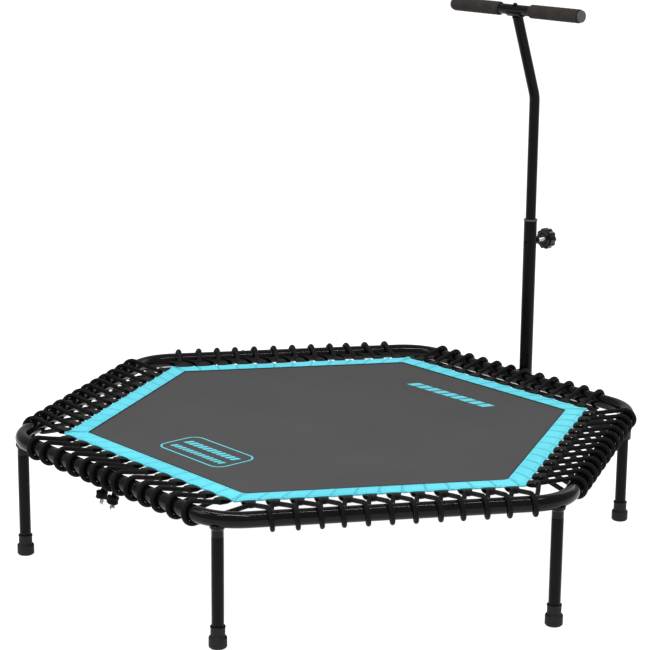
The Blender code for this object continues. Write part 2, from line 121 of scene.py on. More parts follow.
# Mast and T-bar
MAST_X = -0.0160
MAST_Y = 0.5820
MAST_R = 0.0140
MAST_BOTTOM = 0.1780
MAST_TOP = 0.5860
COLLAR_TOP = 0.5900
UPPER_R = 0.0110
UPPER_BOTTOM = 0.4580
BEND_Z = 0.8565
MAST_BEND_R = 0.0600
BAR_Y = 0.5165
BAR_Z = 1.0435
TILT = math.atan2(MAST_Y - BAR_Y, BAR_Z - BEND_Z)
BAR_R = 0.0110
BAR_END = 0.1815
GRIP_START = 0.0440
GRIP_END = 0.1805
GRIP_R = 0.0143
CAP_END = 0.1850
SADDLE_HALF = 0.0200
SADDLE_R = 0.0140
MAST_END_BELOW_BAR = 0.0190

# Height lock and bolts
KNOB_Z = 0.5405
KNOB_Y = MAST_Y + 0.0430
KNOB_T = 0.0180
KNOB_R = 0.0230
LOBE = 0.0010
LOBES = 10
STUD_R = 0.0040
HOLE_R = 0.0030
STUD_START = MAST_Y + UPPER_R + GAP
THREAD_PITCH = 0.00125
NUT_R = 0.0078
NUT_LENGTH = 0.0090
BOLT_R = 0.0030
BOLT_HEAD_R = 0.0062
BRACE_Z = 0.1920
BRACE_Y = LEG_CIRCLE * math.sin(math.radians(60))
BRACE_R = 0.0095

# Printed graphics on the mat
BADGE_X = 0.0030
BADGE_Y = -0.3230
BADGE_W = 0.1940
BADGE_H = 0.1000
BADGE_CORNER = 0.0240
BADGE_LINE = 0.0034

# The badge's rows: bars, their pitch, a bar's width and height, and the row's place above the middle
BADGE_ROWS = ((11, 0.0142, 0.0100, 0.0185, 0.0130), (13, 0.0122, 0.0080, 0.0145, -0.0210))

# The motif near the mast
MOTIF_PLACE = (0.0110, 0.3230)
MOTIF_BARS = 9
MOTIF_PITCH = 0.0262
MOTIF_BAR_W = 0.0200
MOTIF_H = 0.0260

WELD = 0.00001

rng = random.Random(7)


# Materials


def node(tree, kind, settings=None, **values):
    """A shader node with its settings and its input values; an input's spaces are written as _."""
    made = tree.nodes.new(kind)
    for key, value in (settings or {}).items():
        setattr(made, key, value)
    for key, value in values.items():
        made.inputs[key.replace("_", " ")].default_value = value
    return made


def math_node(tree, operation, first, second=None):
    """A Math node on sockets or numbers; returns its output."""
    made = tree.nodes.new("ShaderNodeMath")
    made.operation = operation
    for socket, value in zip(made.inputs, (first, second)):
        if value is None:
            continue
        if isinstance(value, (int, float)):
            socket.default_value = value
        else:
            tree.links.new(value, socket)
    return made.outputs[0]


def principled(name, roughness, metallic=0.0, **values):
    """A new material with its tree and Principled shader."""
    made = bpy.data.materials.new(name)
    made.use_nodes = True
    tree = made.node_tree
    shader = tree.nodes["Principled BSDF"]
    shader.inputs["Roughness"].default_value = roughness
    shader.inputs["Metallic"].default_value = metallic
    for key, value in values.items():
        shader.inputs[key.replace("_", " ")].default_value = value
    return made, tree, shader


def object_coordinates(tree, scale=(1, 1, 1)):
    """The object's own coordinates, scaled."""
    source = node(tree, "ShaderNodeTexCoord")
    mapping = node(tree, "ShaderNodeMapping", Scale=scale)
    tree.links.new(source.outputs["Object"], mapping.inputs["Vector"])
    return mapping.outputs[0]


def noise(tree, vector, scale, detail=3.0, rough=0.55):
    """A noise texture's value."""
    made = node(tree, "ShaderNodeTexNoise", Scale=scale, Detail=detail, Roughness=rough)
    tree.links.new(vector, made.inputs["Vector"])
    return made.outputs["Fac"]


def spread(tree, value, low, high, source_low=0.3, source_high=0.7):
    """A value between low and high from one between source_low and source_high."""
    made = node(
        tree,
        "ShaderNodeMapRange",
        From_Min=source_low,
        From_Max=source_high,
        To_Min=low,
        To_Max=high,
    )
    tree.links.new(value, made.inputs["Value"])
    return made.outputs[0]


def blend_colours(tree, factor, first, second):
    """A mix of two colours by a factor socket."""
    made = node(tree, "ShaderNodeMix", {"data_type": "RGBA"})
    made.inputs[6].default_value = (*first, 1.0)
    made.inputs[7].default_value = (*second, 1.0)
    tree.links.new(factor, made.inputs[0])
    return made.outputs[2]


def set_colour(tree, shader, factor, first, second):
    """Makes the base colour a mix of two colours by a factor socket."""
    tree.links.new(blend_colours(tree, factor, first, second), shader.inputs["Base Color"])


def set_roughness(tree, shader, value, low, high):
    """Makes the roughness vary between low and high with a noise value."""
    tree.links.new(spread(tree, value, low, high), shader.inputs["Roughness"])


def add_bump(tree, shader, height, strength, distance):
    """A bump on the shader from a height socket."""
    made = node(tree, "ShaderNodeBump", Strength=strength, Distance=distance)
    tree.links.new(height, made.inputs["Height"])
    tree.links.new(made.outputs[0], shader.inputs["Normal"])


def painted_steel(name, colour, dusty, rough_low, rough_high, coat):
    """Powder-coated steel: a fine orange peel, uneven gloss, dust and light rubbing."""
    made, tree, shader = principled(
        name, rough_low, Coat_Weight=coat, Coat_Roughness=0.04, Specular_IOR_Level=0.10
    )
    place = object_coordinates(tree)
    patches = noise(tree, place, 14.0, 4.0)
    grain = noise(tree, place, 900.0, 2.0)
    set_colour(tree, shader, spread(tree, patches, 0, 1), colour, dusty)
    set_roughness(tree, shader, patches, rough_low, rough_high)
    add_bump(tree, shader, grain, 0.05, 0.0001)
    return made


def bright_steel(name):
    """Zinc-plated steel with drawn lines and dull patches."""
    made, tree, shader = principled(name, 0.3, 1.0)
    place = object_coordinates(tree)
    lines = noise(tree, object_coordinates(tree, (1, 40, 1)), 120.0, 3.0)
    patches = noise(tree, place, 160.0, 3.0)
    set_colour(tree, shader, spread(tree, patches, 0, 1), (0.52, 0.52, 0.53), (0.72, 0.71, 0.70))
    set_roughness(tree, shader, lines, 0.18, 0.40)
    add_bump(tree, shader, lines, 0.08, 0.0001)
    return made


def moulded(name, colour, lighter, rough_low, rough_high, grain_scale, depth):
    """Moulded rubber or plastic with a grained skin and a little scuffing."""
    made, tree, shader = principled(name, rough_low, Specular_IOR_Level=0.25)
    place = object_coordinates(tree)
    scuffs = noise(tree, place, 45.0, 5.0, 0.7)
    grain = node(tree, "ShaderNodeTexVoronoi", Scale=grain_scale)
    tree.links.new(place, grain.inputs["Vector"])
    set_colour(tree, shader, spread(tree, scuffs, 0, 1), colour, lighter)
    set_roughness(tree, shader, scuffs, rough_low, rough_high)
    add_bump(tree, shader, grain.outputs["Distance"], 0.25, depth)
    return made


def weave_height(tree, pitch):
    """The height of a plain weave of that pitch, in the object's X and Y, and the coordinates used."""
    turns = 2 * math.pi / pitch
    place = object_coordinates(tree, (turns, turns, turns))
    parts = node(tree, "ShaderNodeSeparateXYZ")
    tree.links.new(place, parts.inputs[0])
    across = math_node(tree, "SINE", parts.outputs["X"])
    along = math_node(tree, "SINE", parts.outputs["Y"])
    half_across = math_node(tree, "SINE", math_node(tree, "MULTIPLY", parts.outputs["X"], 0.5))
    half_along = math_node(tree, "SINE", math_node(tree, "MULTIPLY", parts.outputs["Y"], 0.5))
    over = math_node(tree, "MULTIPLY", half_across, half_along)
    ribs = math_node(tree, "ADD", math_node(tree, "ABSOLUTE", across), math_node(tree, "ABSOLUTE", along))
    return math_node(tree, "ADD", math_node(tree, "MULTIPLY", ribs, 0.5), over)


def woven(name, colour, darker, pitch, roughness, sheen, depth):
    """Plain-woven cloth: threads, slubs and slow changes of shade."""
    made, tree, shader = principled(
        name, roughness, Sheen_Weight=sheen, Sheen_Roughness=0.5, Specular_IOR_Level=0.2
    )
    height = weave_height(tree, pitch)
    slow = noise(tree, object_coordinates(tree), 5.0, 4.0)
    fine = noise(tree, object_coordinates(tree, (1, 6, 1)), 260.0, 3.0)
    slow_share = math_node(tree, "MULTIPLY", slow, 0.55)
    fine_share = math_node(tree, "MULTIPLY", fine, 0.45)
    shade = math_node(tree, "ADD", slow_share, fine_share)
    set_colour(tree, shader, spread(tree, shade, 0, 1), colour, darker)
    set_roughness(tree, shader, fine, roughness - 0.06, roughness + 0.06)
    add_bump(tree, shader, height, 0.35, depth)
    return made


def paint_tuck_shade(made, tuck_shade_colour):
    """The cloth with painted shade: a darker line at each whole U, where the border's tucks fold."""
    tree = made.node_tree
    shader = tree.nodes["Principled BSDF"]
    plain = shader.inputs["Base Color"].links[0].from_socket
    # Painted shade: the tuck shade colour is mixed in towards the crest of each U wave.
    depth = spread(tree, uv_waves(tree, 1, 0), 0.0, 0.55, 0.82, 1.0)
    mix = node(tree, "ShaderNodeMix", {"data_type": "RGBA"})
    tree.links.new(depth, mix.inputs[0])
    tree.links.new(plain, mix.inputs[6])
    mix.inputs[7].default_value = (*tuck_shade_colour, 1.0)
    tree.links.new(mix.outputs[2], shader.inputs["Base Color"])


def uv_waves(tree, turns_u, turns_v):
    """The sine of turns_u times U plus turns_v times V, each in turns."""
    source = node(tree, "ShaderNodeTexCoord")
    parts = node(tree, "ShaderNodeSeparateXYZ")
    tree.links.new(source.outputs["UV"], parts.inputs[0])
    first = math_node(tree, "MULTIPLY", parts.outputs["X"], 2 * math.pi * turns_u)
    second = math_node(tree, "MULTIPLY", parts.outputs["Y"], 2 * math.pi * turns_v)
    return math_node(tree, "SINE", math_node(tree, "ADD", first, second))


def braided(name, colour, lighter):
    """The braided sheath of the bungee cord: U runs once round the cord and V along it in metres."""
    made, tree, shader = principled(
        name, 0.62, Sheen_Weight=0.01, Sheen_Roughness=0.4, Specular_IOR_Level=0.12
    )
    right = uv_waves(tree, 8, 260)
    left = uv_waves(tree, -8, 260)
    strands = math_node(tree, "MULTIPLY", right, left)
    fuzz = noise(tree, object_coordinates(tree), 1400.0, 2.0)
    shade = math_node(tree, "ADD", math_node(tree, "MULTIPLY", strands, 0.35), fuzz)
    set_colour(tree, shader, spread(tree, shade, 0, 1, 0.1, 1.0), colour, lighter)
    set_roughness(tree, shader, fuzz, 0.52, 0.72)
    add_bump(tree, shader, strands, 0.55, 0.0006)
    return made


def webbing(name, colour, stripe):
    """Ribbed webbing: U runs across it in metres and V along it in metres."""
    made, tree, shader = principled(
        name, 0.74, Sheen_Weight=0.05, Sheen_Roughness=0.5, Specular_IOR_Level=0.15
    )
    ribs = uv_waves(tree, 620, 0)
    picks = uv_waves(tree, 0, 900)
    bands = uv_waves(tree, 118, 0)
    height = math_node(tree, "ADD", ribs, math_node(tree, "MULTIPLY", picks, 0.6))
    fuzz = noise(tree, object_coordinates(tree), 700.0, 3.0)
    shade = math_node(tree, "MULTIPLY", spread(tree, bands, 0, 1, 0.2, 1.0), spread(tree, fuzz, 0.2, 1.0))
    set_colour(tree, shader, shade, colour, stripe)
    set_roughness(tree, shader, fuzz, 0.64, 0.84)
    add_bump(tree, shader, height, 0.5, 0.0004)
    return made


def foam(name):
    """Closed-cell foam: small pores and rubbed, lighter patches."""
    made, tree, shader = principled(name, 0.9, Sheen_Weight=0.05, Specular_IOR_Level=0.15)
    place = object_coordinates(tree)
    pores = node(tree, "ShaderNodeTexVoronoi", Scale=1100.0)
    tree.links.new(place, pores.inputs["Vector"])
    lumps = noise(tree, place, 320.0, 4.0)
    height = math_node(tree, "ADD", pores.outputs["Distance"], lumps)
    patches = noise(tree, place, 38.0, 5.0)
    set_colour(tree, shader, spread(tree, patches, 0, 1), (0.013, 0.011, 0.010), (0.024, 0.020, 0.018))
    set_roughness(tree, shader, lumps, 0.82, 0.96)
    add_bump(tree, shader, height, 0.6, 0.0005)
    return made


def twisted_thread(name, colour, darker):
    """Sewing thread: a twist along it."""
    made, tree, shader = principled(name, 0.6, Sheen_Weight=0.02, Specular_IOR_Level=0.2)
    twist = noise(tree, object_coordinates(tree), 2200.0, 2.0)
    set_colour(tree, shader, spread(tree, twist, 0, 1), colour, darker)
    add_bump(tree, shader, twist, 0.4, 0.0002)
    return made


def floor_paint(name):
    """Matt white studio floor, lit from below as a light table is, with the faintest unevenness."""
    made, tree, shader = principled(name, 0.75, Specular_IOR_Level=0.1, Emission_Strength=0.97)
    cloud = noise(tree, object_coordinates(tree), 1.5, 3.0)
    set_colour(tree, shader, spread(tree, cloud, 0, 1), (0.34, 0.34, 0.34), (0.36, 0.36, 0.36))
    shader.inputs["Emission Color"].default_value = (1.0, 1.0, 1.0, 1.0)
    add_bump(tree, shader, noise(tree, object_coordinates(tree), 90.0, 3.0), 0.05, 0.001)
    return made


BLACK = (0.002, 0.002, 0.0022)
KNOB_BLACK = (0.002, 0.002, 0.002)
PLASTIC_BLACK = (0.006, 0.006, 0.0065)
PLASTIC_SCUFF = (0.012, 0.012, 0.012)
GREY_SKIN = (0.055, 0.055, 0.055)
GREY_SCUFF = (0.085, 0.085, 0.085)
MAT_GREY = (0.064, 0.063, 0.063)
MAT_DARK = (0.053, 0.052, 0.052)

GLOSS = painted_steel("gloss_black_paint", BLACK, (0.0035, 0.0035, 0.0038), 0.05, 0.09, 0.15)
SATIN = painted_steel("satin_black_paint", BLACK, (0.004, 0.004, 0.004), 0.30, 0.42, 0.0)
ZINC = bright_steel("zinc_plate")
RUBBER = moulded("moulded_rubber", (0.006, 0.006, 0.006), (0.013, 0.012, 0.012), 0.55, 0.78, 900.0, 0.0003)
PLASTIC = moulded("black_plastic_grain", PLASTIC_BLACK, PLASTIC_SCUFF, 0.30, 0.50, 1500.0, 0.0002)
KNOB_SKIN = moulded("polished_plastic", KNOB_BLACK, (0.004, 0.004, 0.004), 0.10, 0.20, 900.0, 0.00005)
GREY = moulded("grey_plastic_grain", GREY_SKIN, GREY_SCUFF, 0.42, 0.58, 1500.0, 0.0002)
MAT = woven("woven_mat", MAT_GREY, MAT_DARK, 0.0022, 0.82, 0.02, 0.0003)
CLOTH = woven("cyan_cloth", (0.155, 0.730, 0.830), (0.080, 0.530, 0.650), 0.0012, 0.66, 0.05, 0.0002)
# Painted shade along each tuck of the border.
paint_tuck_shade(CLOTH, (0.030, 0.300, 0.380))
INK = woven("cyan_print", (0.13, 0.62, 0.71), (0.10, 0.54, 0.64), 0.0022, 0.70, 0.05, 0.0003)
WEBBING = webbing("ribbed_webbing", (0.005, 0.0045, 0.0045), (0.022, 0.014, 0.011))
CORD = braided("braided_sheath", (0.001, 0.001, 0.0012), (0.005, 0.005, 0.005))
FOAM = foam("grip_foam_skin")
CYAN_THREAD = twisted_thread("cyan_thread", (0.20, 0.74, 0.86), (0.09, 0.52, 0.68))
FRAY = twisted_thread("frayed_strand", (0.07, 0.066, 0.06), (0.015, 0.015, 0.014))
BLACK_THREAD = twisted_thread("black_thread", (0.003, 0.003, 0.003), (0.009, 0.009, 0.009))
FLOOR = floor_paint("studio_floor")


# Mesh tools


def side_place(side, along, out, height):
    """A point by its side of the hexagon, place along the side, distance out and height."""
    angle = math.radians(30 + 60 * side)
    x = out * math.cos(angle) - along * math.sin(angle)
    y = out * math.sin(angle) + along * math.cos(angle)
    return Vector((x, y, height))


def along_y():
    """Turns a +Z axis to +Y."""
    return Matrix.Rotation(math.radians(-90), 4, "X")


def along_x():
    """Turns a +Z axis to +X."""
    return Matrix.Rotation(math.radians(90), 4, "Y")


def tilted():
    """Turns a +Z axis to the direction of the mast above its bend."""
    return Matrix.Rotation(TILT, 4, "X")


def new_mesh(points, faces, uvs=None):
    """A mesh from points and faces, with UVs by point index if given."""
    mesh = bpy.data.meshes.new("mesh")
    mesh.from_pydata([tuple(point) for point in points], [], faces)
    if uvs:
        layer = mesh.uv_layers.new(name="UVMap")
        for polygon in mesh.polygons:
            for loop in polygon.loop_indices:
                layer.data[loop].uv = uvs[mesh.loops[loop].vertex_index]
    return mesh


def moved(mesh, place=(0, 0, 0), turn=Matrix.Identity(4)):
    """The mesh turned and then moved."""
    mesh.transform(Matrix.Translation(place) @ turn)
    return mesh


def joined(meshes):
    """One mesh from several."""
    made = bmesh.new()
    for mesh in meshes:
        made.from_mesh(mesh)
    result = bpy.data.meshes.new("joined")
    made.to_mesh(result)
    made.free()
    return result


def outward(mesh, weld=0.0):
    """The mesh with its faces turned outward, and with points closer than weld joined."""
    made = bmesh.new()
    made.from_mesh(mesh)
    if weld:
        bmesh.ops.remove_doubles(made, verts=made.verts, dist=weld)
    bmesh.ops.recalc_face_normals(made, faces=made.faces)
    made.to_mesh(mesh)
    made.free()
    return mesh


def piece(name, mesh, finish, body=None, replaced=None, sharp=40.0):
    """A named object at the hexagon's centre with its material and slot, riding its body and standing in
    for a CAD node."""
    made = bpy.data.objects.new(name, mesh)
    bpy.context.scene.collection.objects.link(made)
    made.location = CENTRE
    mesh.materials.clear()
    mesh.materials.append(finish)
    mesh.shade_smooth()
    mesh.set_sharp_from_angle(angle=math.radians(sharp))
    if body:
        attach(made, body)
    if replaced:
        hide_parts(replaced)
    return made


def rings_mesh(rings, uv_rows, capped=True):
    """A skin over rings of equally many points, with a flat cap at each end."""
    count = len(rings[0])
    points = [point for ring in rings for point in ring]
    faces = []
    for row in range(len(rings) - 1):
        for column in range(count):
            after = (column + 1) % count
            start = row * count
            faces.append((start + column, start + after, start + count + after, start + count + column))
    if capped:
        faces.append(tuple(reversed(range(count))))
        faces.append(tuple(range(len(points) - count, len(points))))
    mesh = new_mesh(points, faces)
    layer = mesh.uv_layers.new(name="UVMap")
    for index, polygon in enumerate(mesh.polygons):
        row, column = divmod(index, count)
        if row >= len(rings) - 1:
            continue
        corners = ((row, column), (row, column + 1), (row + 1, column + 1), (row + 1, column))
        for loop, (place, turn) in zip(polygon.loop_indices, corners):
            layer.data[loop].uv = (turn / count, uv_rows[place])
    return mesh


def sweep_mesh(points, radius, sides=16):
    """A round bar along the points. radius is a number, or a list with one for each point."""
    points = [Vector(point) for point in points]
    last = len(points) - 1
    radii = radius if isinstance(radius, list) else [radius] * len(points)
    tangents = [(points[min(k + 1, last)] - points[max(k - 1, 0)]).normalized() for k in range(last + 1)]
    normal = tangents[0].orthogonal().normalized()
    rings = []
    distances = [0.0]
    for k, (point, tangent) in enumerate(zip(points, tangents)):
        if k > 0:
            normal = tangents[k - 1].rotation_difference(tangent) @ normal
            distances.append(distances[-1] + (point - points[k - 1]).length)
        normal = (normal - tangent * normal.dot(tangent)).normalized()
        other = tangent.cross(normal)
        turns = [2 * math.pi * side / sides for side in range(sides)]
        rings.append([point + (normal * math.cos(t) + other * math.sin(t)) * radii[k] for t in turns])
    return rings_mesh(rings, distances)


def softened(points, rounds=2):
    """The same open path with its corners cut."""
    for _ in range(rounds):
        cut = [points[0]]
        for first, second in zip(points, points[1:]):
            cut.append(first.lerp(second, 0.25))
            cut.append(first.lerp(second, 0.75))
        points = cut + [points[-1]]
    return points


def rounded(profile, radius, steps=3, closed=False):
    """The profile with its corners rounded."""
    points = [Vector((*point, 0.0)) for point in profile]
    count = len(points)
    made = []
    for k, point in enumerate(points):
        if not closed and k in (0, count - 1):
            made.append(point)
            continue
        before = points[k - 1] - point
        after = points[(k + 1) % count] - point
        reach = min(radius, 0.45 * before.length, 0.45 * after.length)
        start = point + before.normalized() * reach
        end = point + after.normalized() * reach
        for step in range(steps + 1):
            t = step / steps
            made.append(start.lerp(point, t).lerp(point.lerp(end, t), t))
    return [(point.x, point.y) for point in made]


def hex_factor(angle):
    """A hexagon's radius at an angle, as a share of its corner radius."""
    within = math.fmod(angle, math.radians(60)) - math.radians(30)
    return math.cos(math.radians(30)) / math.cos(within)


def turned_mesh(profile, sides=32, closed=False, hex_below=0.0):
    """A turned solid from (radius, height) points. Where hex_below is given, rings of at most that radius
    are hexagonal, as a key socket is."""
    rings = []
    for radius, height in profile:
        ring = []
        for side in range(sides):
            angle = 2 * math.pi * side / sides
            reach = radius * (hex_factor(angle) if radius <= hex_below else 1.0)
            ring.append(Vector((reach * math.cos(angle), reach * math.sin(angle), height)))
        rings.append(ring)
    if closed:
        rings.append(rings[0])
    lengths = [0.0]
    for (r0, z0), (r1, z1) in zip(profile, profile[1:] + profile[:1]):
        lengths.append(lengths[-1] + math.hypot(r1 - r0, z1 - z0))
    return outward(rings_mesh(rings, lengths, capped=False), WELD)


def plate_mesh(outlines, thickness, bevel=0.0, steps=2):
    """A flat plate centred on z = 0 from closed outlines, with rounded edges."""
    curve = bpy.data.curves.new("outline", "CURVE")
    curve.dimensions = "2D"
    curve.fill_mode = "BOTH"
    curve.extrude = thickness / 2 - bevel
    curve.bevel_depth = bevel
    curve.bevel_resolution = steps
    curve.offset = -bevel
    for outline in outlines:
        spline = curve.splines.new("POLY")
        spline.points.add(len(outline) - 1)
        for point, (x, y) in zip(spline.points, outline):
            point.co = (x, y, 0.0, 1.0)
        spline.use_cyclic_u = True
    obj = bpy.data.objects.new("outline", curve)
    bpy.context.scene.collection.objects.link(obj)
    graph = bpy.context.evaluated_depsgraph_get()
    mesh = bpy.data.meshes.new_from_object(obj.evaluated_get(graph))
    bpy.data.objects.remove(obj, do_unlink=True)
    return outward(mesh, WELD)


def cut(mesh, cutter):
    """The mesh with the cutter's space taken out of it."""
    holders = [bpy.data.objects.new("cut", each) for each in (mesh, cutter)]
    for holder in holders:
        bpy.context.scene.collection.objects.link(holder)
    tool = holders[0].modifiers.new("cut", "BOOLEAN")
    tool.object = holders[1]
    tool.solver = "EXACT"
    graph = bpy.context.evaluated_depsgraph_get()
    made = bpy.data.meshes.new_from_object(holders[0].evaluated_get(graph))
    for holder in holders:
        bpy.data.objects.remove(holder, do_unlink=True)
    return made


def slab_mesh(points, rows, columns, uvs):
    """A closed slab from its upper grid of points and then its lower one."""
    width = columns + 1
    offset = (rows + 1) * width
    faces = []
    for row in range(rows):
        for column in range(columns):
            a = row * width + column
            faces.append((a, a + 1, a + 1 + width, a + width))
            faces.append((offset + a, offset + a + width, offset + a + 1 + width, offset + a + 1))
        for column in (0, columns):
            a = row * width + column
            faces.append((a, a + width, offset + a + width, offset + a))
    for column in range(columns):
        for row in (0, rows):
            a = row * width + column
            faces.append((a, a + 1, offset + a + 1, offset + a))
    return outward(new_mesh(points, faces, uvs))


def circle(radius, sides=32, middle=(0.0, 0.0)):
    """Points of a circle."""
    turns = [2 * math.pi * side / sides for side in range(sides)]
    return [(middle[0] + radius * math.cos(t), middle[1] + radius * math.sin(t)) for t in turns]


def hexagon(radius):
    """Corners at 0, 60 ... 300 degrees."""
    return circle(radius, 6)


# Frame, legs and feet


def frame_tube(number):
    """One bent length of the frame tube with the welded collar that its leg pushes up to."""
    side = number - 1
    angle = math.radians(60 * number)
    outwards = Vector((math.cos(angle), math.sin(angle), 0))
    centre = outwards * (LEG_CIRCLE - BEND_R)
    points = [side_place(side, GAP / 2, APOTHEM, FRAME_Z)]
    steps = 24
    for step in range(steps + 1):
        turn = math.radians(60 * number - 30 + 60 * step / steps)
        points.append(centre + Vector((BEND_R * math.cos(turn), BEND_R * math.sin(turn), FRAME_Z)))
    points.append(side_place(side + 1, -GAP / 2, APOTHEM, FRAME_Z))
    collar_low = LEG_TOP + GAP
    weld = FRAME_Z - FRAME_R
    collar = [
        (0, FRAME_Z - 0.0060),
        (LEG_R + 0.0034, weld + 0.0050),
        (LEG_R + 0.0030, weld - 0.0006),
        (LEG_R + 0.0012, weld - 0.0030),
        (LEG_R, weld - 0.0050),
        (LEG_R, collar_low),
        (0, collar_low),
    ]
    collar_mesh = moved(turned_mesh(rounded(collar, 0.0008), 32), outwards * LEG_CIRCLE)
    tube_mesh = joined([sweep_mesh(points, FRAME_R, 48), collar_mesh])
    piece(
        f"frame_tube_{number}", tube_mesh, GLOSS, "frame", f"frame_section_{number}"
    )


def leg_and_foot(number):
    """A leg tube with its rolled rim, and its moulded rubber foot."""
    angle = math.radians(60 * number)
    place = Vector((math.cos(angle), math.sin(angle), 0)) * LEG_CIRCLE
    section = [
        (LEG_R - WALL, LEG_TOP),
        (LEG_R, LEG_TOP),
        (LEG_R, LEG_BOTTOM),
        (LEG_R - WALL, LEG_BOTTOM),
    ]
    tube_mesh = moved(turned_mesh(rounded(section, 0.0006, closed=True), 40, closed=True), place)
    piece(f"leg_tube_{number}", tube_mesh, SATIN, "frame", f"leg_{number}")

    socket = LEG_R + GAP
    lip = 0.0007
    profile = [
        (socket, 0.0060),
        (socket, FOOT_TOP),
        (FOOT_SLEEVE_R, FOOT_TOP),
        (FOOT_SLEEVE_R, FOOT_TOP - 0.0030),
        (FOOT_SLEEVE_R - lip, FOOT_TOP - 0.0034),
        (FOOT_SLEEVE_R - lip, FOOT_STEP + 0.0012),
        (FOOT_R - 0.0014, FOOT_STEP),
        (FOOT_R, FOOT_STEP - 0.0016),
        (FOOT_R, 0.0026),
        (FOOT_R - 0.0026, 0.0),
        (FOOT_R - 0.0070, 0.0),
        (FOOT_R - 0.0076, 0.0010),
        (0, 0.0010),
    ]
    foot_mesh = turned_mesh([(0, 0.0060)] + rounded(profile, 0.0007), 48)
    piece(
        f"rubber_foot_{number}", moved(foot_mesh, place), RUBBER, "frame", f"foot_{number}"
    )


def button_head(seat, radius, height, socket):
    """The profile of a button-head screw above its seat, with a key socket."""
    return [
        (0, seat + height * 0.35),
        (socket, seat + height * 0.35),
        (socket, seat + height),
        (radius * 0.62, seat + height * 0.90),
        (radius * 0.90, seat + height * 0.45),
        (radius, seat + height * 0.12),
        (radius, seat),
    ]


def frame_screw(number):
    """The screw that pins a frame section to the sleeve inside its joint."""
    low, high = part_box(f"frame_screw_{number}")
    middle = (low + high) / 2 - CENTRE
    side = number - 1
    angle = math.radians(30 + 60 * side)
    normal = Vector((math.cos(angle), math.sin(angle), 0))
    across = Vector((-normal.y, normal.x, 0))
    place = side_place(side, middle.dot(across), APOTHEM, FRAME_Z)
    turn = Matrix.Rotation(angle, 4, "Z") @ Matrix.Rotation(math.radians(45), 4, "Y")
    seat = FRAME_R + GAP
    profile = button_head(seat, 0.0045, 0.0022, 0.0015) + [(0, seat)]
    screw_mesh = moved(turned_mesh(profile, 24, hex_below=0.0015), place, turn)
    piece(
        f"pin_screw_{number}", screw_mesh,
        SATIN, "frame", f"frame_screw_{number}", sharp=30
    )


# Mat, border, stitches, tabs and prints


def mat_sheet():
    """The woven mat, running under its border, as a thin plate with a fine grid on top."""
    radius = BORDER_INNER + 0.010
    rows = 44
    points = []
    for level in (MAT_TOP - 0.0001, MAT_BOTTOM):
        points.append(Vector((0, 0, level)))
        for row in range(1, rows + 1):
            corners = [Vector((x, y, level)) for x, y in hexagon(radius * row / rows)]
            for corner in range(6):
                for step in range(row):
                    points.append(corners[corner].lerp(corners[(corner + 1) % 6], step / row))
    layer_size = len(points) // 2

    def index(row, corner, step):
        """The number of a point of the grid."""
        if row == 0:
            return 0
        return 1 + 3 * row * (row - 1) + (corner * row + step) % (6 * row)

    faces = []
    for row in range(1, rows + 1):
        for corner in range(6):
            for step in range(row):
                outer = (index(row, corner, step), index(row, corner, step + 1))
                inner = index(row - 1, corner, step)
                faces.append((outer[0], outer[1], inner))
                if step < row - 1:
                    faces.append((inner, outer[1], index(row - 1, corner, step + 1)))
    under = [tuple(layer_size + corner for corner in reversed(face)) for face in faces]
    first = layer_size - 6 * rows
    rim = []
    for step in range(6 * rows):
        after = (step + 1) % (6 * rows)
        rim.append((first + after, first + step, layer_size + first + step, layer_size + first + after))
    sheet_mesh = outward(new_mesh(points, faces + under + rim))
    sheet = piece("woven_mat_sheet", sheet_mesh, MAT, "mat", "jumping_mat")
    return sheet, 1.5 * math.sqrt(3) * radius * radius


def tab_places():
    """Places along a side of its tabs."""
    return [(tab - (TABS - 1) / 2) * TAB_PITCH for tab in range(TABS)]


def border_edge(along):
    """How far the border's outer edge sits inside its corner line between two tab joints."""
    phase = (along / TAB_PITCH) % 1.0
    return 0.0034 * math.sin(math.pi * phase) ** 0.8


def border_phase(across, along):
    """A place on the border counted in tucks, which slant across it."""
    return along / TAB_PITCH + 0.30 * (across - 0.5)


def border_height(across, along, wobble):
    """The border's top above the mat: rolled edges, a sunk seam and a slanted tuck at each tab joint."""
    edge = min(across, 1.0 - across)
    roll = BORDER_T * min(1.0, 0.35 + 3.2 * edge) - 0.0006 * math.exp(-(((edge - 0.13) / 0.05) ** 2))
    phase = (border_phase(across, along) + 0.5) % 1.0 - 0.5
    tuck = 0.0019 * math.exp(-((phase / 0.045) ** 2)) * max(0.0, across - 0.12)
    ridge = 0.0013 * math.exp(-(((phase - 0.12) / 0.06) ** 2)) * across
    return roll - tuck + ridge + 0.00035 * math.sin(34 * along + wobble) * across


def border_half(across):
    """Half of a side's length at a place across the border."""
    return (BORDER_INNER + (BORDER_OUTER - BORDER_INNER) * across) / 2


def border_top(side, share, across):
    """A point on top of the border: share is -1 ... 1 along the side, across 0 ... 1 outward."""
    half = border_half(across)
    along = share * half
    at_edge = share * border_half(1.0)
    from_end = half - abs(along)
    inset = border_edge(at_edge) * min(1.0, from_end / 0.004)
    out = (2 * half - inset * across / math.cos(math.radians(30))) * math.cos(math.radians(30))
    fold = 0.0012 * math.exp(-((from_end / 0.0035) ** 2)) * (1.0 if share > 0 else 0.35)
    return side_place(side, along, out, MAT_TOP + border_height(across, at_edge, 1.7 * side) + fold)


def border_band(side):
    """The border along one side: a folded strip of cloth, mitred at its ends."""
    columns = 22
    rows = 288
    top = []
    bottom = []
    uvs = []
    for row in range(rows + 1):
        for column in range(columns + 1):
            across = column / columns
            place = border_top(side, 2 * row / rows - 1, across)
            top.append(place)
            # U counts the tucks along the band; the cloth's painted tuck shade follows it.
            uvs.append((border_phase(across, (2 * row / rows - 1) * border_half(1.0)) + 0.25, across))
            under = MAT_BOTTOM - 0.0006 if across > 0.12 else MAT_TOP + 0.0001
            bottom.append(Vector((place.x, place.y, under)))
    return slab_mesh(top + bottom, rows, columns, uvs + uvs)


